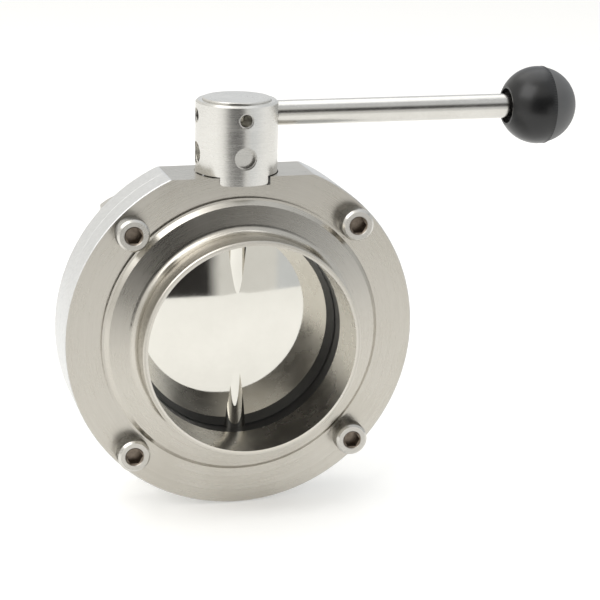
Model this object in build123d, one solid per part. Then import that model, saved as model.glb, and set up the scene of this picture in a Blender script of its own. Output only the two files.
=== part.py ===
from build123d import *

import os

# Hygienic butterfly valve with weld ends. Millimetres. The origin is where the pipe axis crosses the
# stem axis: pipe along Y (front is -Y), stem up along +Z, handle rod towards +X with the valve closed.

# Pipe and body
TUBE_OD = 88.9
TUBE_WALL = 2.0
FACE_TO_FACE = 65.0
FLANGE_WIDTH = 29.5          # from the bore to the rim
BOLT_EDGE = 1.0              # from the rim to the screw heads
BOLT_ANGLE = 45.0
FLAT_DEPTH = 6.5             # from the rim down to the flat that carries the hub
BOSS_EDGE = 14.5             # from the rim to the foot of the boss
BOSS_STEP = 1.4              # height of the boss's first step
BOSS_LEDGE = 0.9             # width of the ledge on top of it
BOSS_BEVEL = 1.7             # bevel from the ledge to the cone
CONE_RISE = 1.8              # how far the cone rises from the boss to the neck
NECK_FILLET = 3.6
EDGE_CHAMFER = 0.3           # outer edges of the body
JOINT_CHAMFER = 0.12         # where the halves meet
WELD_CHAMFER = 0.4
FASTENER_CHAMFER = 0.8

# Fasteners of the body
SCREW_D = 8.0
SCREW_HOLE_GAP = 0.2         # radial
HEAD_D = 1.625 * SCREW_D
HEAD_HEIGHT = SCREW_D
HEX_KEY = 0.75 * SCREW_D     # across the flats of the socket
HEX_DEPTH = 0.5 * SCREW_D
SINK_D = 0.975 * SCREW_D     # countersink at the socket's mouth
SINK_DEPTH = 0.075 * SCREW_D
NUT_FLATS = 1.625 * SCREW_D
NUT_HEIGHT = 0.8125 * SCREW_D
NUT_TURN = 30.0
THREAD_OUT = 1.5             # screw end beyond the nut
THREAD_GAP = 0.05            # radial, between a thread and what it screws into
SPOT_GAP = 0.3               # radial, round the corners of a nut

# Stem, bushes, seals and seat
STEM_D = 10.0
RUN_GAP = 0.05               # radial running clearance of the stem
FIT_GAP = 0.05               # between pieces that are clamped or pushed together
BUSH_WALL = 2.5
BODY_WALL = 5.5              # body metal outside the bush
BUSH_FLANGE = 1.2
BUSH_FLANGE_T = 2.0
BUSH_DEPTH = 14.0            # length of the blind bush
BUSH_FLOOR = 2.0
SEAL_SECTION = 1.5
SEAT_THICKNESS = 5.2
SEAT_LAND = 4.4              # seat half width beyond the stem radius, at the bore
SEAT_UNDERCUT = 1.5          # how much wider the seat is at its back
STEM_RELIEF = 0.5

# Disc
DISC_GAP = 0.3               # between the disc's rim and the bore
DISC_COVER = 0.4             # disc metal over the stem at the centre
DISC_HALF_RIM = 2.4          # half thickness at the rim
END_GAP = 0.4                # beyond the stem's two ends

# Hub
SLOT_GAP = 0.3               # between the hub's tongues and the body faces
TONGUE_T = 3.2
TONGUE_DROP = 3.0            # how far the tongues hang below the flat
TONGUE_ROUND = 1.2
HUB_LIFT = 0.35              # hub body above the flat
HUB_CHAMFER = 0.8
WASHER_T = 0.5
WASHER_GAP = 0.3             # between the washer and the bush
CAP_COVER = 1.45             # hub metal between the rod's thread and the cap
CAP_SUNK = 1.4               # cap below the hub's top
CAP_PROUD = 0.9              # cap above the hub's top
CAP_WALL = 2.8
CAP_GAP = 0.1
CAP_CHAMFER = 0.3
UPPER_HOLE_D = 5.0
LOWER_HOLE_D = 8.0
LOWER_HOLE_DEPTH = 3.0
LOWER_HOLE_HEIGHT = 8.0      # above the flat
HOLE_CHAMFER = 0.5
POCKET_GAP = 0.4             # round the tongues as they turn
TRAVEL = 90.0
STOP_ANGLE = 1.5             # pocket beyond the tongue at the end of its travel
ALONG = 300.0                # longer than anything that is cut through
OVERCUT = 1.0                # a cutter beyond the face that it opens

# Handle
ROD_D = 10.0
ROD_HEIGHT = 23.0            # rod axis above the flat
ROD_THREAD = 0.6 * ROD_D
ROD_CHAMFER = 0.6
SOCKET_IN_STEM = 3.5         # how far the rod's thread enters the stem
BALL_D = 32.0
BALL_REACH = 128.5           # from the stem axis to the centre of the ball
BALL_FACE = 0.5              # radius of the ball's flat face, as a share of the ball radius
CAP_OFFSET = 2.5             # from the ball's centre to its end cap
CAP_PIN_D = 10.0
CAP_PIN_LENGTH = 3.0
CAP_STEP = 0.25              # how far the end cap stands in from the ball
INSERT_WALL = 2.2
INSERT_COVER = 1.8           # ball material between the insert and the end cap's pin
RECESS_DEPTH = 2.5
RECESS_WALL = 2.2            # recess radius beyond the rod

# Sizes that follow
TUBE_R = TUBE_OD / 2
BORE_R = TUBE_R - TUBE_WALL
NUT_CORNER_R = NUT_FLATS / 2 + FASTENER_CHAMFER
HALF_LENGTH = FACE_TO_FACE / 2
FLANGE_R = BORE_R + FLANGE_WIDTH
BOLT_R = FLANGE_R - BOLT_EDGE - HEAD_D / 2
FLAT_Z = FLANGE_R - FLAT_DEPTH
BOSS_R = FLANGE_R - BOSS_EDGE
STEM_R = STEM_D / 2
DISC_HALF_CENTRE = STEM_R + DISC_COVER
BUSH_R = STEM_R + BUSH_WALL
HALF_T = BUSH_R + BODY_WALL
BUSH_RIM_R = BUSH_R + BUSH_FLANGE
SEAT_R = BORE_R + SEAT_THICKNESS
SEAT_HALF_IN = STEM_R + SEAT_LAND
SEAT_HALF_OUT = SEAT_HALF_IN + SEAT_UNDERCUT
BUSH_START = SEAT_R + FIT_GAP
SEAL_GROOVE_R = STEM_R + RUN_GAP + SEAL_SECTION
LOWER_END = BUSH_START + BUSH_DEPTH
STEM_FOOT = LOWER_END - BUSH_FLOOR - END_GAP
HUB_SLOT = HALF_T + SLOT_GAP
HUB_R = HUB_SLOT + TONGUE_T
HUB_BOTTOM = FLAT_Z + HUB_LIFT
BUSH_TOP = HUB_BOTTOM - WASHER_T - WASHER_GAP
TONGUE_BOTTOM = FLAT_Z - TONGUE_DROP
TONGUE_HALF = (HUB_R**2 - HUB_SLOT**2) ** 0.5
ROD_Z = FLAT_Z + ROD_HEIGHT
THREAD_R = ROD_THREAD / 2
CAP_R = HUB_R - CAP_WALL
CAP_FLOOR = ROD_Z + THREAD_R + THREAD_GAP + CAP_COVER
HUB_TOP = CAP_FLOOR + CAP_SUNK
STEM_TOP = CAP_FLOOR - END_GAP
LOWER_HOLE_Z = FLAT_Z + LOWER_HOLE_HEIGHT
ROD_SEAT = (HUB_R**2 - (ROD_D / 2) ** 2) ** 0.5 - HOLE_CHAMFER
BALL_R = BALL_D / 2
FACE_R = BALL_R * BALL_FACE
BALL_FRONT = BALL_REACH - (BALL_R**2 - FACE_R**2) ** 0.5
INSERT_START = BALL_FRONT + RECESS_DEPTH
INSERT_R = THREAD_R + INSERT_WALL
CAP_FACE = BALL_REACH + CAP_OFFSET
INSERT_END = CAP_FACE - CAP_PIN_LENGTH - INSERT_COVER
ROD_THREAD_END = INSERT_END - INSERT_WALL

ON_BASE = (Align.CENTER, Align.CENTER, Align.MIN)
ABOUT_AXIS = (Align.NONE, Align.NONE, Align.MIN)


def z_cylinder(radius, low, high):
    return Pos(0, 0, (low + high) / 2) * Cylinder(radius, high - low)


def x_cylinder(radius, low, high, z):
    return Pos((low + high) / 2, 0, z) * Rot(0, 90, 0) * Cylinder(radius, high - low)


def y_cylinder(radius, low, high, x, z):
    return Pos(x, (low + high) / 2, z) * Rot(90, 0, 0) * Cylinder(radius, high - low)


def bolt_places():
    """The (x, z) of the four bolts."""
    centres = []
    for turn in range(4):
        spot = Rot(0, BOLT_ANGLE + 90 * turn, 0) * Pos(BOLT_R, 0, 0)
        centres.append((spot.position.X, spot.position.Z))
    return centres


def half_section():
    """Section of the body half on the +Y side."""
    groove_r = SEAT_R + FIT_GAP
    groove_out = SEAT_HALF_OUT + FIT_GAP
    groove_in = SEAT_HALF_IN + FIT_GAP
    ledge_y = HALF_T + BOSS_STEP
    bevel_y = ledge_y + BOSS_BEVEL
    neck_root = (TUBE_R, bevel_y + CONE_RISE)
    section = make_face(Polyline(
        (groove_r, 0),
        (FLANGE_R - JOINT_CHAMFER, 0),
        (FLANGE_R, JOINT_CHAMFER),
        (FLANGE_R, HALF_T - EDGE_CHAMFER),
        (FLANGE_R - EDGE_CHAMFER, HALF_T),
        (BOSS_R, HALF_T),
        (BOSS_R, ledge_y),
        (BOSS_R - BOSS_LEDGE, ledge_y),
        (BOSS_R - BOSS_LEDGE - BOSS_BEVEL, bevel_y),
        neck_root,
        (TUBE_R, HALF_LENGTH - WELD_CHAMFER),
        (TUBE_R - WELD_CHAMFER, HALF_LENGTH),
        (BORE_R, HALF_LENGTH),
        (BORE_R, groove_in),
        (groove_r, groove_out),
        close=True,
    ))
    return fillet(section.vertices().sort_by_distance(neck_root)[0], NECK_FILLET)


def tongue_half_angle():
    """Half of the angle that a tongue covers at the hub's outside."""
    corner = Vector(HUB_SLOT, TONGUE_HALF)
    return Vector(1, 0).get_angle(corner)


def sector(radius, low, high, start, span):
    return Pos(0, 0, low) * Rot(0, 0, start) * Cylinder(radius, high - low, arc_size=span, align=ABOUT_AXIS)


def tongue_pockets():
    """Quarter-ring pockets in the flat, in which the hub's tongues swing between the two stops."""
    reach = tongue_half_angle()
    floor = TONGUE_BOTTOM - POCKET_GAP
    pockets = []
    for side in (-90, 90):
        ring = sector(HUB_R + POCKET_GAP, floor, FLAT_Z + OVERCUT, side, TRAVEL + reach + STOP_ANGLE)
        pockets.append(ring - z_cylinder(HUB_SLOT - POCKET_GAP, floor - OVERCUT, FLAT_Z + 2 * OVERCUT))
    return pockets


def body_half():
    """The half on the +Y side."""
    half = revolve(half_section(), Axis.Y)
    for x, z in bolt_places():
        half -= y_cylinder(SCREW_D / 2 + SCREW_HOLE_GAP, -OVERCUT, HALF_LENGTH, x, z)
        half -= y_cylinder(NUT_CORNER_R + SPOT_GAP, HALF_T, HALF_LENGTH, x, z)
    half -= Pos(0, 0, FLAT_Z + ALONG / 2) * Box(ALONG, ALONG, ALONG)
    half -= z_cylinder(STEM_R + STEM_RELIEF, -SEAT_R - FIT_GAP, FLAT_Z)
    half -= z_cylinder(BUSH_R + FIT_GAP, SEAT_R, FLAT_Z)
    half -= z_cylinder(BUSH_RIM_R + FIT_GAP, BUSH_TOP - BUSH_FLANGE_T - FIT_GAP, FLAT_Z + OVERCUT)
    half -= z_cylinder(BUSH_R + FIT_GAP, -LOWER_END - FIT_GAP, -SEAT_R)
    for pocket in tongue_pockets():
        half -= pocket
    return half


def rear_body_half():
    return body_half()


def front_body_half():
    return Rot(0, 0, 180) * body_half()


def seat_ring():
    section = make_face(Polyline(
        (BORE_R, -SEAT_HALF_IN),
        (SEAT_R, -SEAT_HALF_OUT),
        (SEAT_R, SEAT_HALF_OUT),
        (BORE_R, SEAT_HALF_IN),
        close=True,
    ))
    ring = revolve(section, Axis.Y)
    return ring - z_cylinder(STEM_R + RUN_GAP, -SEAT_R - OVERCUT, SEAT_R + OVERCUT)


def socket_screw(x, z):
    end = HALF_T + NUT_HEIGHT + THREAD_OUT
    head = y_cylinder(HEAD_D / 2, -HALF_T - HEAD_HEIGHT, -HALF_T, x, z)
    rim = head.faces().sort_by(Axis.Y)[0].edges()
    head = chamfer(rim, FASTENER_CHAMFER)
    shank = y_cylinder(SCREW_D / 2, -HALF_T, end, x, z)
    shank = chamfer(shank.faces().sort_by(Axis.Y)[-1].edges(), FASTENER_CHAMFER)
    key = RegularPolygon(HEX_KEY / 2, 6, major_radius=False)
    sink = Cone(SINK_D / 2, SINK_D / 2 - SINK_DEPTH, SINK_DEPTH, align=ON_BASE)
    socket = Pos(x, -HALF_T - HEAD_HEIGHT, z) * Rot(-90, 0, 0) * (extrude(key, HEX_DEPTH) + sink)
    return head + shank - socket


def hex_nut(x, z):
    outline = RegularPolygon(NUT_FLATS / 2, 6, major_radius=False)
    block = extrude(outline, NUT_HEIGHT)
    crown = Cylinder(NUT_CORNER_R, NUT_HEIGHT, align=ON_BASE)
    crown = chamfer(crown.edges().filter_by(GeomType.CIRCLE), FASTENER_CHAMFER)
    bore = Cylinder(SCREW_D / 2 + THREAD_GAP, ALONG)
    return Pos(x, HALF_T, z) * Rot(-90, 0, NUT_TURN) * ((block & crown) - bore)


def body_screws():
    return [socket_screw(x, z) for x, z in bolt_places()]


def body_nuts():
    return [hex_nut(x, z) for x, z in bolt_places()]


def upper_stem_bush():
    bush = z_cylinder(BUSH_R, BUSH_START, BUSH_TOP)
    bush += z_cylinder(BUSH_RIM_R, BUSH_TOP - BUSH_FLANGE_T, BUSH_TOP)
    bush -= z_cylinder(STEM_R + RUN_GAP, BUSH_START - OVERCUT, FLAT_Z + OVERCUT)
    return bush - z_cylinder(SEAL_GROOVE_R, BUSH_START - OVERCUT, BUSH_START + SEAL_SECTION)


def lower_stem_bush():
    bush = z_cylinder(BUSH_R, -LOWER_END, -BUSH_START)
    bush -= z_cylinder(STEM_R + RUN_GAP, -LOWER_END + BUSH_FLOOR, -BUSH_START + OVERCUT)
    return bush - z_cylinder(SEAL_GROOVE_R, -BUSH_START - SEAL_SECTION, -BUSH_START + OVERCUT)


def stem_seal(z):
    return Pos(0, 0, z) * Torus(STEM_R + RUN_GAP / 2 + SEAL_SECTION / 2, SEAL_SECTION / 2 - RUN_GAP / 4)


def upper_stem_seal():
    return stem_seal(BUSH_START + SEAL_SECTION / 2)


def lower_stem_seal():
    return stem_seal(-BUSH_START - SEAL_SECTION / 2)


def valve_disc():
    """The domed disc, with the stem that runs through it."""
    rim_r = BORE_R - DISC_GAP
    edge_r = (rim_r**2 - DISC_HALF_RIM**2) ** 0.5
    sag = DISC_HALF_CENTRE - DISC_HALF_RIM
    dome_r = (edge_r**2 + sag**2) / (2 * sag)
    lift = dome_r - DISC_HALF_CENTRE
    disc = Pos(0, lift, 0) * Sphere(dome_r) & Pos(0, -lift, 0) * Sphere(dome_r) & Sphere(rim_r)
    disc += z_cylinder(STEM_R, -STEM_FOOT, STEM_TOP)
    return disc - x_cylinder(THREAD_R + THREAD_GAP, STEM_R - SOCKET_IN_STEM - THREAD_GAP, ALONG, ROD_Z)


def hub_washer():
    ring = z_cylinder(BUSH_RIM_R, HUB_BOTTOM - WASHER_T, HUB_BOTTOM)
    return ring - z_cylinder(STEM_R + FIT_GAP, 0, HUB_TOP)


def cross_hole(radius, floor, z, turn):
    """A radial hole in the hub from its floor outwards, with its mouth chamfered."""
    hole = x_cylinder(radius, floor, ALONG, z)
    mouth_x = (HUB_R**2 - radius**2) ** 0.5 - HOLE_CHAMFER
    mouth = x_cylinder(radius + HOLE_CHAMFER, mouth_x, ALONG, z)
    return Rot(0, 0, turn) * (hole + mouth)


def hub_tongues():
    """The two tongues that hang from the hub in front of and behind the body."""
    drop = HUB_BOTTOM - TONGUE_BOTTOM
    outline = extrude(RectangleRounded(2 * TONGUE_HALF, 2 * drop, TONGUE_ROUND), HUB_R, both=True)
    tongues = z_cylinder(HUB_R, TONGUE_BOTTOM, HUB_BOTTOM) & Pos(0, 0, HUB_BOTTOM) * Rot(90, 0, 0) * outline
    return tongues - Box(ALONG, 2 * HUB_SLOT, ALONG)


def handle_hub():
    hub = z_cylinder(HUB_R, HUB_BOTTOM, HUB_TOP)
    hub = chamfer(hub.edges().filter_by(GeomType.CIRCLE).sort_by(Axis.Z)[-1], HUB_CHAMFER)
    hub += hub_tongues()
    hub -= z_cylinder(STEM_R + FIT_GAP, 0, ALONG)
    hub -= z_cylinder(CAP_R + CAP_GAP, CAP_FLOOR, ALONG)
    for turn in (90, 180, 270):
        hub -= cross_hole(UPPER_HOLE_D / 2, 0, ROD_Z, turn)
    for turn in (0, 90, 180, 270):
        hub -= cross_hole(LOWER_HOLE_D / 2, HUB_R - LOWER_HOLE_DEPTH, LOWER_HOLE_Z, turn)
    hub -= x_cylinder(THREAD_R + THREAD_GAP, 0, ALONG, ROD_Z)
    return hub - x_cylinder(ROD_D / 2 + FIT_GAP, ROD_SEAT, ALONG, ROD_Z)


def hub_cap():
    cap = z_cylinder(CAP_R, CAP_FLOOR, HUB_TOP + CAP_PROUD)
    return chamfer(cap.edges().filter_by(GeomType.CIRCLE).sort_by(Axis.Z)[-1], CAP_CHAMFER)


def handle_rod():
    rod = x_cylinder(ROD_D / 2, ROD_SEAT, INSERT_START, ROD_Z)
    rod = chamfer(rod.edges().filter_by(GeomType.CIRCLE), ROD_CHAMFER)
    return rod + x_cylinder(THREAD_R, STEM_R - SOCKET_IN_STEM, ROD_THREAD_END, ROD_Z)


def knob_insert():
    insert = x_cylinder(INSERT_R, INSERT_START, INSERT_END, ROD_Z)
    return insert - x_cylinder(THREAD_R + THREAD_GAP, 0, ROD_THREAD_END + THREAD_GAP, ROD_Z)


def ball_knob():
    section = Circle(BALL_R) & Pos(0, BALL_R) * Rectangle(2 * BALL_R, 2 * BALL_R)
    section &= Pos((BALL_FRONT + CAP_FACE) / 2 - BALL_REACH, 0) * Rectangle(CAP_FACE - BALL_FRONT, ALONG)
    ball = Pos(BALL_REACH, 0, ROD_Z) * revolve(section, Axis.X)
    ball -= x_cylinder(INSERT_R, INSERT_START, INSERT_END, ROD_Z)
    ball -= x_cylinder(CAP_PIN_D / 2 + FIT_GAP, CAP_FACE - CAP_PIN_LENGTH - FIT_GAP, ALONG, ROD_Z)
    return ball - x_cylinder(ROD_D / 2 + RECESS_WALL, BALL_FRONT - OVERCUT, INSERT_START, ROD_Z)


def knob_end_cap():
    dome_r = BALL_R - CAP_STEP
    section = Circle(dome_r) & Pos(CAP_OFFSET + dome_r, dome_r) * Rectangle(2 * dome_r, 2 * dome_r)
    dome = Pos(BALL_REACH, 0, ROD_Z) * revolve(section, Axis.X)
    return dome + x_cylinder(CAP_PIN_D / 2, CAP_FACE - CAP_PIN_LENGTH, CAP_FACE + OVERCUT, ROD_Z)


PIECES = [
    front_body_half,
    rear_body_half,
    seat_ring,
    valve_disc,
    body_screws,
    body_nuts,
    upper_stem_bush,
    lower_stem_bush,
    upper_stem_seal,
    lower_stem_seal,
    hub_washer,
    handle_hub,
    hub_cap,
    handle_rod,
    knob_insert,
    ball_knob,
    knob_end_cap,
]

os.makedirs("parts", exist_ok=True)
for piece in PIECES:
    made = piece()
    shape = Compound(children=made) if isinstance(made, list) else made
    export_step(shape, "parts/" + piece.__name__ + ".step")
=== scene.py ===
import math

import bmesh
import bpy
from mathutils import Matrix, Vector


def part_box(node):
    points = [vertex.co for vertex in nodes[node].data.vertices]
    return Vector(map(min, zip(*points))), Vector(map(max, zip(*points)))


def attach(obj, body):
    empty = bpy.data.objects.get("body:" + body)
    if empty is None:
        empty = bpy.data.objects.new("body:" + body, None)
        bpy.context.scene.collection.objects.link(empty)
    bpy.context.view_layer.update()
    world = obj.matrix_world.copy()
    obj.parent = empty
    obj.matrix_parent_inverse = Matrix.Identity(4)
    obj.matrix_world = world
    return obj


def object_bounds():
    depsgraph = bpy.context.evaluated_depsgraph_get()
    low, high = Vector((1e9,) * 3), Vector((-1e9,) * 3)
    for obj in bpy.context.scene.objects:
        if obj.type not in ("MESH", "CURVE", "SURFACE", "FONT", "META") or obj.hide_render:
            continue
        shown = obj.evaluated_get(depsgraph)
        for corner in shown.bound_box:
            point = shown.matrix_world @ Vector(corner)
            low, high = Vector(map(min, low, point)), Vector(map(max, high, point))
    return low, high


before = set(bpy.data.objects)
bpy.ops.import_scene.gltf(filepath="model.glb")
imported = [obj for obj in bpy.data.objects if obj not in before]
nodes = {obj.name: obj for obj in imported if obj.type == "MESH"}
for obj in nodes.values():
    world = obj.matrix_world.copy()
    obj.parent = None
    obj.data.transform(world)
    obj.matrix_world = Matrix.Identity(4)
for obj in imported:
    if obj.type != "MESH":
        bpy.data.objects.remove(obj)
cad_low, cad_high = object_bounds()
scene = bpy.context.scene


# Sizes, most of them read back from the CAD nodes

MM = 0.001
DISC_GAP = 0.3 * MM
HEAD_R = 6.5 * MM

FLANGE_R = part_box("front_body_half")[1].x
BORE_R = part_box("valve_disc")[1].x + DISC_GAP
screw_low, screw_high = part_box("body_screws")
HEAD_FACE = screw_low.y
BOLT_X = screw_high.x - HEAD_R
BOLT_Z = screw_high.z - HEAD_R
ball_low, ball_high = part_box("ball_knob")
BALL_R = (ball_high.y - ball_low.y) / 2
BALL_Z = (ball_high.z + ball_low.z) / 2
SEAM_X = ball_high.x
BALL_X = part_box("knob_end_cap")[1].x - BALL_R


# Node helpers

class Tree:
    """A node tree, with short ways to add and join nodes."""

    def __init__(self, owner, place):
        owner.use_nodes = True
        self.owner = owner
        self.nodes = owner.node_tree.nodes
        self.links = owner.node_tree.links
        self.nodes.clear()
        self.place = self.nodes.new("ShaderNodeTexCoord").outputs[place]

    def join(self, a, b):
        self.links.new(a, b)

    def feed(self, value, socket):
        """Joins a socket to this one, or sets a plain value."""
        if isinstance(value, bpy.types.NodeSocket):
            self.join(value, socket)
        else:
            socket.default_value = value

    def math(self, kind, a, b=0.0):
        node = self.nodes.new("ShaderNodeMath")
        node.operation = kind
        self.feed(a, node.inputs[0])
        self.feed(b, node.inputs[1])
        return node.outputs[0]

    def times(self, a, b):
        return self.math("MULTIPLY", a, b)

    def blend(self, a, b, share):
        """The given share of b, and the rest of a."""
        return self.math("ADD", self.times(a, 1.0 - share), self.times(b, share))

    def split(self):
        """The x, y and z of the tree's own coordinates."""
        node = self.nodes.new("ShaderNodeSeparateXYZ")
        self.join(self.place, node.inputs[0])
        return node.outputs

    def length(self, a, b):
        """The length of the flat vector (a, b)."""
        return self.math("SQRT", self.math("ADD", self.times(a, a), self.times(b, b)))

    def vector(self, x, y, z):
        node = self.nodes.new("ShaderNodeCombineXYZ")
        for value, socket in zip((x, y, z), node.inputs):
            self.feed(value, socket)
        return node.outputs[0]

    def noise(self, where, scale, detail=2.0, rough=0.5):
        node = self.nodes.new("ShaderNodeTexNoise")
        self.join(where, node.inputs["Vector"])
        node.inputs["Scale"].default_value = scale
        node.inputs["Detail"].default_value = detail
        node.inputs["Roughness"].default_value = rough
        return node.outputs[0]

    def spread(self, value, low, high, first=0.3, last=0.7):
        """From low to high as the value goes from first to last."""
        node = self.nodes.new("ShaderNodeMapRange")
        self.join(value, node.inputs[0])
        for socket, number in zip(node.inputs[1:5], (first, last, low, high)):
            socket.default_value = number
        return node.outputs[0]

    def above(self, value, edge, width):
        """0 below the edge and 1 above it."""
        return self.spread(value, 0.0, 1.0, edge - width, edge + width)

    def below(self, value, edge, width):
        """1 below the edge and 0 above it."""
        return self.math("SUBTRACT", 1.0, self.above(value, edge, width))

    def mix(self, share, a, b):
        """Colour a, or b where the share is 1."""
        node = self.nodes.new("ShaderNodeMix")
        node.data_type = "RGBA"
        self.feed(share, node.inputs[0])
        self.feed(a, node.inputs[6])
        self.feed(b, node.inputs[7])
        return node.outputs[2]

    def tones(self, pattern, dark, light, first=0.3, last=0.7):
        """From a dark to a light colour as the pattern goes from first to last."""
        share = self.spread(pattern, 0.0, 1.0, first, last)
        return self.mix(share, (*dark, 1), (*light, 1))

    def pick(self, share, a, b):
        """Number a, or b where the share is 1."""
        node = self.nodes.new("ShaderNodeMix")
        self.feed(share, node.inputs[0])
        self.feed(a, node.inputs[2])
        self.feed(b, node.inputs[3])
        return node.outputs[0]

    def bump(self, height, depth, strength=1.0, under=None):
        node = self.nodes.new("ShaderNodeBump")
        node.inputs["Strength"].default_value = strength
        node.inputs["Distance"].default_value = depth
        self.join(height, node.inputs["Height"])
        if under is not None:
            self.join(under, node.inputs["Normal"])
        return node.outputs[0]


class Surface(Tree):
    """A material with one Principled shader."""

    def __init__(self, name):
        super().__init__(bpy.data.materials.new(name), "Object")
        self.shader = self.nodes.new("ShaderNodeBsdfPrincipled")
        out = self.nodes.new("ShaderNodeOutputMaterial")
        self.join(self.shader.outputs[0], out.inputs[0])

    def set(self, **values):
        """Feeds the shader's sockets, each named with _ for a space."""
        for name, value in values.items():
            self.feed(value, self.shader.inputs[name.replace("_", " ")])

    def tangent(self, axis):
        node = self.nodes.new("ShaderNodeTangent")
        node.direction_type = "RADIAL"
        node.axis = axis
        self.join(node.outputs[0], self.shader.inputs["Tangent"])


# Materials

SWIRL = 1.5 * MM  # how far the tool marks change on the way round
RIM_FROST = 0.35 * MM  # in from the flange's edge
BORE_EDGE = 0.8 * MM  # out from the bore
SOCKET_R = 0.62 * HEAD_R
SOCKET_RING_R = 0.86 * HEAD_R
SOCKET_SHADE = 0.15 * MM  # back from the head's face
FROST_SLANT = (0.8, 0.6)
FROST_STRETCH = (0.25, 0.2)
SCRATCH_STRETCH = 0.06


def turned_place(tree, axis):
    """Coordinates for marks left by turning: fast across the tool's path, slow along it."""
    x, y, z = tree.split()
    across, up, length = {"Y": (x, z, y), "Z": (x, y, z), "X": (y, z, x)}[axis]
    slow = tree.times(tree.math("SINE", tree.math("ARCTAN2", up, across)), SWIRL)
    return tree.vector(tree.length(across, up), length, slow)


def turned_steel(tree, axis, light, dark, rough, mark):
    """Tool marks, faint cloudy stain and small specks. Returns colour, roughness and normal."""
    lines = turned_place(tree, axis)
    fine = tree.noise(lines, scale=6200.0, detail=3.0, rough=0.6)
    broad = tree.noise(lines, scale=900.0, detail=3.0, rough=0.55)
    marks = tree.blend(fine, broad, share=0.4)
    cloud = tree.noise(tree.place, scale=38.0, detail=4.0, rough=0.55)
    specks = tree.noise(tree.place, scale=900.0)
    color = tree.tones(tree.blend(marks, cloud, share=0.45), dark, light, first=0.35, last=0.65)
    roughness = tree.spread(tree.blend(marks, cloud, share=0.5), *rough)
    dents = tree.bump(specks, depth=mark * 0.15, strength=0.2)
    return color, roughness, tree.bump(marks, depth=mark, strength=0.4, under=dents)


def steel(name, axis, light, dark, rough, mark, anisotropy):
    """Plain turned metal, with its marks round one axis."""
    tree = Surface(name)
    color, roughness, normal = turned_steel(tree, axis, light, dark, rough, mark)
    tree.set(Base_Color=color, Metallic=1.0, Roughness=roughness, Anisotropic=anisotropy, Normal=normal)
    tree.tangent(axis)
    return tree.owner


def frost_grain(tree):
    """A coarse grain that slants across the flange's edge."""
    x, y, z = tree.split()
    slant_y, slant_z = FROST_SLANT
    stretch_x, stretch_z = FROST_STRETCH
    slant = tree.math("ADD", tree.times(y, slant_y), tree.times(z, slant_z))
    where = tree.vector(tree.times(x, stretch_x), slant, tree.times(z, stretch_z))
    return tree.noise(where, scale=2600.0, detail=4.0, rough=0.7)


def body_steel(name):
    """Turned faces, a frosted rim and a clouded bore."""
    tree = Surface(name)
    color, roughness, normal = turned_steel(
        tree,
        "Y",
        light=(0.58, 0.555, 0.505),
        dark=(0.48, 0.455, 0.405),
        rough=(0.22, 0.34),
        mark=0.006 * MM,
    )
    x, y, z = tree.split()
    radius = tree.length(x, z)
    rim = tree.above(radius, FLANGE_R - RIM_FROST, width=0.08 * MM)
    grain = frost_grain(tree)
    color = tree.mix(rim, color, tree.tones(grain, (0.60, 0.605, 0.60), (0.80, 0.80, 0.795)))
    roughness = tree.pick(rim, roughness, tree.spread(grain, 0.40, 0.56))
    bore = tree.below(radius, BORE_R + BORE_EDGE, width=0.1 * MM)
    haze = tree.noise(tree.place, scale=60.0, detail=4.0, rough=0.6)
    color = tree.mix(bore, color, tree.tones(haze, (0.56, 0.53, 0.475), (0.66, 0.635, 0.585)))
    roughness = tree.pick(bore, roughness, tree.spread(haze, 0.22, 0.31))
    tree.set(
        Base_Color=color,
        Metallic=tree.pick(rim, 1.0, 0.86),
        Roughness=roughness,
        Anisotropic=0.45,
        Normal=tree.bump(tree.times(grain, rim), depth=0.03 * MM, strength=0.5, under=normal),
    )
    tree.tangent("Y")
    return tree.owner


def screw_steel(name):
    """Bright edges, a greyer ring round the socket and brown shade inside it."""
    tree = Surface(name)
    color, roughness, normal = turned_steel(
        tree,
        "Y",
        light=(0.68, 0.665, 0.63),
        dark=(0.52, 0.505, 0.47),
        rough=(0.2, 0.34),
        mark=0.008 * MM,
    )
    x, y, z = tree.split()
    off_x = tree.math("SUBTRACT", tree.math("ABSOLUTE", x), BOLT_X)
    off_z = tree.math("SUBTRACT", tree.math("ABSOLUTE", z), BOLT_Z)
    from_middle = tree.length(off_x, off_z)
    ring = tree.below(from_middle, SOCKET_RING_R, width=0.08 * MM)
    color = tree.mix(ring, color, tree.mix(0.35, color, (0.33, 0.31, 0.28, 1)))
    # Painted shade: deeper in the socket than SOCKET_SHADE behind the head's face, the colour turns dark
    # brown, mottled by noise.
    inside = tree.below(from_middle, SOCKET_R, width=0.1 * MM)
    deep = tree.times(inside, tree.above(y, HEAD_FACE + SOCKET_SHADE, width=0.12 * MM))
    socket_shade_mottle = tree.noise(tree.place, scale=700.0, detail=3.0)
    color = tree.mix(deep, color, tree.mix(socket_shade_mottle, (0.10, 0.075, 0.055, 1), (0.34, 0.29, 0.24, 1)))
    tree.set(
        Base_Color=color,
        Metallic=1.0,
        Roughness=tree.pick(deep, roughness, 0.42),
        Anisotropic=0.2,
        Normal=normal,
    )
    return tree.owner


def mirror(name):
    """Hand-polished steel: faint haze, hair scratches and slow waves."""
    tree = Surface(name)
    x, y, z = tree.split()
    haze = tree.noise(tree.place, scale=55.0, detail=4.0, rough=0.6)
    scratch = tree.noise(tree.vector(x, y, tree.times(z, SCRATCH_STRETCH)), scale=2600.0)
    waves = tree.noise(tree.place, scale=24.0, detail=1.0, rough=0.4)
    tree.set(
        Base_Color=tree.tones(haze, (0.665, 0.65, 0.60), (0.71, 0.695, 0.645)),
        Metallic=1.0,
        Roughness=tree.spread(tree.blend(haze, scratch, share=0.4), 0.025, 0.07),
        Normal=tree.bump(
            scratch, depth=0.002 * MM, strength=0.2, under=tree.bump(waves, depth=0.12 * MM)
        ),
    )
    return tree.owner


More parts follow.
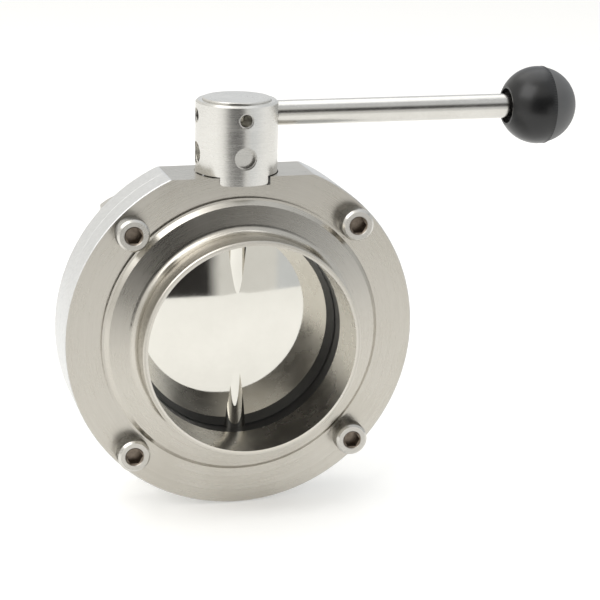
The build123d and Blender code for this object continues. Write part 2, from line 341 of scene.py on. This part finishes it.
def dull(name, dark, light, rough, depth, scale):
    """Rubber or plastic with a fine grain."""
    tree = Surface(name)
    grain = tree.noise(tree.place, scale, detail=3.0)
    cloud = tree.noise(tree.place, scale=60.0, detail=4.0)
    tree.set(
        Base_Color=tree.tones(cloud, dark, light),
        Roughness=tree.spread(tree.blend(cloud, grain, share=0.5), *rough),
        Normal=tree.bump(grain, depth, strength=0.35),
    )
    return tree.owner


MATERIALS = {
    "body": body_steel("body_steel"),
    "disc": mirror("disc_mirror"),
    "hub": steel(
        "hub_turned",
        "Z",
        light=(0.76, 0.745, 0.71),
        dark=(0.64, 0.63, 0.60),
        rough=(0.22, 0.33),
        mark=0.006 * MM,
        anisotropy=0.35,
    ),
    "rod": steel(
        "rod_turned",
        "X",
        light=(0.68, 0.665, 0.63),
        dark=(0.56, 0.545, 0.51),
        rough=(0.18, 0.29),
        mark=0.006 * MM,
        anisotropy=0.35,
    ),
    "screw": screw_steel("screw_steel"),
    "rubber": dull(
        "seat_rubber",
        dark=(0.006, 0.006, 0.006),
        light=(0.015, 0.014, 0.013),
        rough=(0.40, 0.58),
        depth=0.03 * MM,
        scale=2400.0,
    ),
    "bush": dull(
        "bush_plastic",
        dark=(0.74, 0.70, 0.60),
        light=(0.84, 0.81, 0.72),
        rough=(0.35, 0.5),
        depth=0.02 * MM,
        scale=1400.0,
    ),
    "brass": steel(
        "insert_brass",
        "X",
        light=(0.72, 0.55, 0.27),
        dark=(0.55, 0.40, 0.17),
        rough=(0.22, 0.34),
        mark=0.01 * MM,
        anisotropy=0.3,
    ),
    "knob": dull(
        "knob_black",
        dark=(0.006, 0.006, 0.0065),
        light=(0.012, 0.012, 0.012),
        rough=(0.27, 0.36),
        depth=0.012 * MM,
        scale=1500.0,
    ),
    "knob_end": dull(
        "knob_end_black",
        dark=(0.085, 0.086, 0.088),
        light=(0.115, 0.115, 0.114),
        rough=(0.42, 0.52),
        depth=0.02 * MM,
        scale=1500.0,
    ),
}
USES = {
    "front_body_half": "body",
    "rear_body_half": "body",
    "seat_ring": "rubber",
    "valve_disc": "disc",
    "body_screws": "screw",
    "body_nuts": "screw",
    "upper_stem_bush": "bush",
    "lower_stem_bush": "bush",
    "upper_stem_seal": "rubber",
    "lower_stem_seal": "rubber",
    "hub_washer": "bush",
    "handle_hub": "hub",
    "hub_cap": "hub",
    "handle_rod": "rod",
    "knob_insert": "brass",
    "ball_knob": "knob",
    "knob_end_cap": "knob_end",
}
for name, use in USES.items():
    mesh = nodes[name].data
    mesh.materials.clear()
    mesh.materials.append(MATERIALS[use])
    mesh.polygons.foreach_set("material_index", [0] * len(mesh.polygons))


# Fine pieces that the CAD leaves out

def ridges(name, lines, body, material):
    """Three-sided ridges. Each line is a list of (left, crest, right) corners along one ridge."""
    shape = bmesh.new()
    for line in lines:
        rows = [[shape.verts.new(corner) for corner in row] for row in line]
        for near, far in zip(rows, rows[1:]):
            for a in range(3):
                b = (a + 1) % 3
                shape.faces.new((near[a], near[b], far[b], far[a]))
        shape.faces.new(rows[0])
        shape.faces.new(rows[-1])
    bmesh.ops.recalc_face_normals(shape, faces=shape.faces)
    mesh = bpy.data.meshes.new(name)
    shape.to_mesh(mesh)
    shape.free()
    mesh.materials.append(material)
    made = bpy.data.objects.new(name, mesh)
    scene.collection.objects.link(made)
    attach(made, body)


def spaced(count, share):
    """Each ridge's middle and half its width, as angles. The share is how much of the round is ridge."""
    for n in range(count):
        yield 2 * math.pi * n / count, math.pi * share / count


def corners(turn, half, foot, crest):
    """The (left, crest, right) corners of a ridge at one angle round an axis."""
    polar = ((turn - half, foot), (turn, crest), (turn + half, foot))
    return [(radius * math.cos(angle), radius * math.sin(angle)) for angle, radius in polar]


# Short ribs round the ball. RIB_SINK is how far their feet lie inside it.
RIB_COUNT = 92
RIB_SHARE = 0.5
RIB_LENGTH = 2.6 * MM
RIB_HEIGHT = 0.22 * MM
RIB_SINK = 0.05 * MM
RIB_SPANS = 4
SEAM_GAP = 0.15 * MM
CREST_LIMIT = BALL_R - 0.01 * MM


def knob_rib_lines():
    """Ribs that follow the ball and end just before the seam. Their crests stay inside the ball's box."""
    for turn, half in spaced(RIB_COUNT, RIB_SHARE):
        line = []
        for i in range(RIB_SPANS + 1):
            x = SEAM_X - SEAM_GAP - RIB_LENGTH * (1 - i / RIB_SPANS)
            foot = math.sqrt(BALL_R**2 - (x - BALL_X) ** 2) - RIB_SINK
            crest = min(foot + RIB_HEIGHT, CREST_LIMIT)
            line.append([(x, across, BALL_Z + up) for across, up in corners(turn, half, foot, crest)])
        yield line


# Straight knurls on the screw heads. KNURL_ENDS holds distances from the head's face and shares of height.
KNURL_COUNT = 56
KNURL_SHARE = 0.42
KNURL_HEIGHT = 0.14 * MM
KNURL_SINK = 0.03 * MM
KNURL_BASE = 0.04 * MM
KNURL_ENDS = ((1.0 * MM, 0.0), (1.3 * MM, 1.0), (6.6 * MM, 1.0), (6.9 * MM, 0.0))


def head_knurl_lines():
    """Knurls on the sides of the four heads, run out to almost nothing at both ends."""
    foot = HEAD_R - KNURL_SINK
    middles = [(side_x * BOLT_X, side_z * BOLT_Z) for side_x in (-1, 1) for side_z in (-1, 1)]
    for middle_x, middle_z in middles:
        for turn, half in spaced(KNURL_COUNT, KNURL_SHARE):
            line = []
            for depth, grow in KNURL_ENDS:
                crest = foot + KNURL_BASE + KNURL_HEIGHT * grow
                ridge = corners(turn, half, foot, crest)
                line.append([(middle_x + across, HEAD_FACE + depth, middle_z + up) for across, up in ridge])
            yield line


ridges("knob_ribs", knob_rib_lines(), "handle", MATERIALS["knob"])
ridges("head_knurls", head_knurl_lines(), "body", MATERIALS["screw"])


# Floor, light and room

FLOOR_SIDE = 8.0
FLOOR_FRONT = -0.47
FLOOR_BACK = 14.0
FLOOR_GAP = 0.4 * MM
FLOOR_GLOW = 0.26

# The room is told by direction: an angle from the front, to the right, and the height on a unit ball
DARK_LEFT = (-0.80, -0.62)
DARK_RIGHT = (0.14, 0.18)
DARK_TOP = (0.45, 0.62)
UPPER_START = (0.05, 0.09)
UPPER_RIGHT = (0.50, 0.66)
PANEL = (0.36, 0.38)
ROOM_WHITE = (0.86, 0.85, 0.82, 1)
ROOM_PANEL = (0.76, 0.78, 0.80, 1)
ROOM_DARK = (0.035, 0.033, 0.032, 1)
BACKDROP = (1.0, 1.0, 1.0, 1)


def floor_material():
    """Matt paper that glows a little."""
    tree = Surface("floor_paper")
    grain = tree.noise(tree.place, scale=300.0, detail=3.0)
    tree.set(
        Base_Color=tree.tones(grain, (0.86, 0.855, 0.84), (0.89, 0.885, 0.87)),
        Roughness=tree.spread(grain, 0.75, 0.9),
        Normal=tree.bump(grain, depth=0.05 * MM, strength=0.2),
        Emission_Color=(1.0, 0.99, 0.97, 1),
        Emission_Strength=FLOOR_GLOW,
    )
    return tree.owner


def make_floor():
    """A pale sheet that ends a little in front of the valve, so that the polished faces also see past it."""
    z = cad_low.z - FLOOR_GAP
    outline = ((-1, FLOOR_FRONT), (1, FLOOR_FRONT), (1, FLOOR_BACK), (-1, FLOOR_BACK))
    mesh = bpy.data.meshes.new("floor")
    mesh.from_pydata([(side * FLOOR_SIDE, y, z) for side, y in outline], [], [(0, 1, 2, 3)])
    mesh.materials.append(floor_material())
    floor = bpy.data.objects.new("floor", mesh)
    scene.collection.objects.link(floor)


def back_of(azimuth, elevation):
    """The direction from the valve to a viewer or light. Angles are in degrees, azimuth from the front."""
    a, e = math.radians(azimuth), math.radians(elevation)
    return Vector((math.sin(a) * math.cos(e), -math.cos(a) * math.cos(e), math.sin(e)))


def soft_light(name, size, power, azimuth, elevation, distance):
    """A square light that looks at the valve."""
    data = bpy.data.lights.new(name, "AREA")
    data.shape = "SQUARE"
    data.size = size
    data.energy = power
    light = bpy.data.objects.new(name, data)
    scene.collection.objects.link(light)
    back = back_of(azimuth, elevation)
    light.location = back * distance
    light.rotation_euler = back.to_track_quat("Z", "Y").to_euler()


def room_tone(tree):
    """White, with a pale panel at the right and a dark end in front that reaches further right higher up."""
    x, y, z = tree.split()
    turn = tree.math("ARCTAN2", x, tree.times(y, -1.0))
    upper = tree.times(tree.spread(z, 0.0, 1.0, *UPPER_START), tree.spread(turn, 1.0, 0.0, *UPPER_RIGHT))
    dark = tree.math("MAXIMUM", tree.spread(turn, 1.0, 0.0, *DARK_RIGHT), upper)
    dark = tree.times(dark, tree.spread(turn, 0.0, 1.0, *DARK_LEFT))
    dark = tree.times(dark, tree.spread(z, 1.0, 0.0, *DARK_TOP))
    light = tree.mix(tree.spread(turn, 0.0, 1.0, *PANEL), ROOM_WHITE, ROOM_PANEL)
    return tree.mix(dark, light, ROOM_DARK)


def studio_room():
    """The room that the steel reflects; the camera itself sees a plain white backdrop."""
    world = bpy.data.worlds.new("studio")
    scene.world = world
    tree = Tree(world, "Generated")
    seen = tree.nodes.new("ShaderNodeLightPath").outputs["Is Camera Ray"]
    background = tree.nodes.new("ShaderNodeBackground")
    tree.join(tree.mix(seen, room_tone(tree), BACKDROP), background.inputs["Color"])
    out = tree.nodes.new("ShaderNodeOutputWorld")
    tree.join(background.outputs[0], out.inputs[0])


make_floor()
soft_light("key", size=0.8, power=4.5, azimuth=-60, elevation=52, distance=1.1)
soft_light("top", size=1.0, power=3.5, azimuth=170, elevation=70, distance=1.1)
studio_room()


# Camera, in degrees and metres, with the lens and sensor in millimetres. SIDE and RISE are how far the
# valve's origin lies right of and above the middle of the picture.

AZIMUTH = -16.0
ELEVATION = 16.2
ROLL = 1.27
DISTANCE = 0.780
SIDE = -0.0270
RISE = -0.0109
LENS = 114.0
SENSOR = 36.0


def place_camera():
    """A camera in front of the valve, rolled a little about its line of sight."""
    data = bpy.data.cameras.new("camera")
    data.sensor_width = SENSOR
    data.lens = LENS
    camera = bpy.data.objects.new("camera", data)
    scene.collection.objects.link(camera)
    ahead = -back_of(AZIMUTH, ELEVATION)
    turn, roll = math.radians(AZIMUTH), math.radians(ROLL)
    level = Vector((math.cos(turn), math.sin(turn), 0.0))
    upright = level.cross(ahead)
    right = level * math.cos(roll) + upright * math.sin(roll)
    up = upright * math.cos(roll) - level * math.sin(roll)
    axes = Matrix((right, up, -ahead)).transposed().to_4x4()
    camera.matrix_world = Matrix.Translation(-SIDE * right - RISE * up - DISTANCE * ahead) @ axes
    scene.camera = camera


place_camera()
scene.view_settings.view_transform = "Standard"
scene.view_settings.look = "None"
